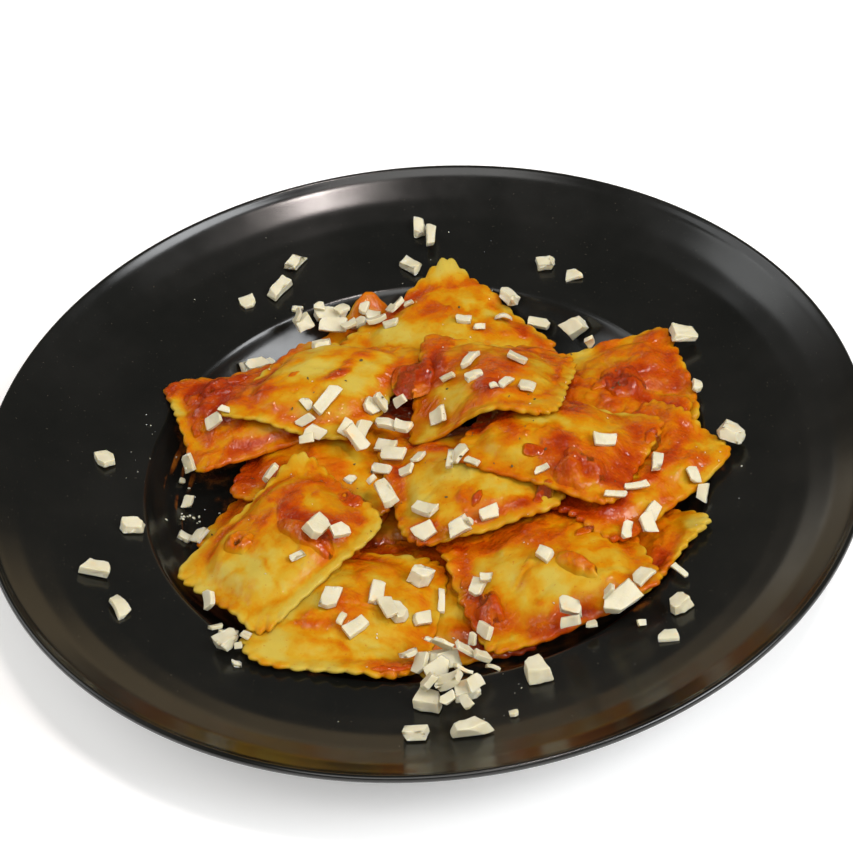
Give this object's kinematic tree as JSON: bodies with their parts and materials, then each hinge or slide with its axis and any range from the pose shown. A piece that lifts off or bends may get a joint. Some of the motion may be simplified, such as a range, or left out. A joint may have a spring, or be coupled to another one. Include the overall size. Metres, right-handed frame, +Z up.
{
  "type": "plate of ravioli",
  "caption": "Square fluted ravioli in tomato sauce with crumbled white cheese, heaped in the well of a black rimmed plate.",
  "frame": {"origin": "middle of the plate's underside, on the surface it stands on", "axes": "+Z up out of the plate; -Y is the near side of the plate, towards the person eating; +X is their right"},
  "size_m": [0.28, 0.28, 0.0422],
  "materials": {
    "plate_glaze": "semi-gloss black glaze with sauce smears",
    "pasta": "cooked egg pasta under a glossy film of tomato sauce",
    "tomato": "wet cooked tomato",
    "cheese": "soft white cheese, roughly cut"
  },
  "bodies": {
    "root": {"cheese_back_gap": "cheese", "cheese_back_left": "cheese", "cheese_back_left_far": "cheese", "cheese_back_left_low": "cheese", "cheese_left_front": "cheese", "cheese_middle_bar": "cheese", "cheese_on_back": "cheese", "cheese_on_front": "cheese", "cheese_on_front_left": "cheese", "cheese_on_front_low": "cheese", "cheese_on_front_right": "cheese", "cheese_on_front_right_low": "cheese", "cheese_on_left_upper": "cheese", "cheese_on_middle": "cheese", "cheese_on_right_back": "cheese", "cheese_on_top": "cheese", "cheese_pile_back": "cheese", "cheese_pile_left": "cheese", "cheese_pile_right": "cheese", "cheese_rim_back": "cheese", "cheese_rim_back_left": "cheese", "cheese_rim_back_left_low": "cheese", "cheese_rim_back_middle": "cheese", "cheese_rim_back_wedge": "cheese", "cheese_rim_front": "cheese", "cheese_rim_front_low": "cheese", "cheese_rim_front_low_left": "cheese", "cheese_rim_left": "cheese", "cheese_rim_left_back": "cheese", "cheese_rim_right": "cheese", "cheese_rim_right_tip": "cheese", "plate": "plate_glaze", "ravioli_back": "pasta", "ravioli_back_left": "pasta", "ravioli_front": "pasta", "ravioli_front_left": "pasta", "ravioli_front_right": "pasta", "ravioli_front_under": "pasta", "ravioli_left_lower": "pasta", "ravioli_left_middle_under": "pasta", "ravioli_left_under": "pasta", "ravioli_left_upper": "pasta", "ravioli_middle": "pasta", "ravioli_middle_under": "pasta", "ravioli_right": "pasta", "ravioli_right_back": "pasta", "ravioli_right_middle": "pasta", "ravioli_right_under": "pasta", "ravioli_right_upper": "pasta", "ravioli_top": "pasta", "tomato_front_left": "tomato", "tomato_front_left_small": "tomato", "tomato_front_right": "tomato", "tomato_front_right_flat": "tomato", "tomato_left_lower": "tomato", "tomato_right_back": "tomato", "tomato_right_upper": "tomato", "tomato_top": "tomato"}
  },
  "joints": []
}
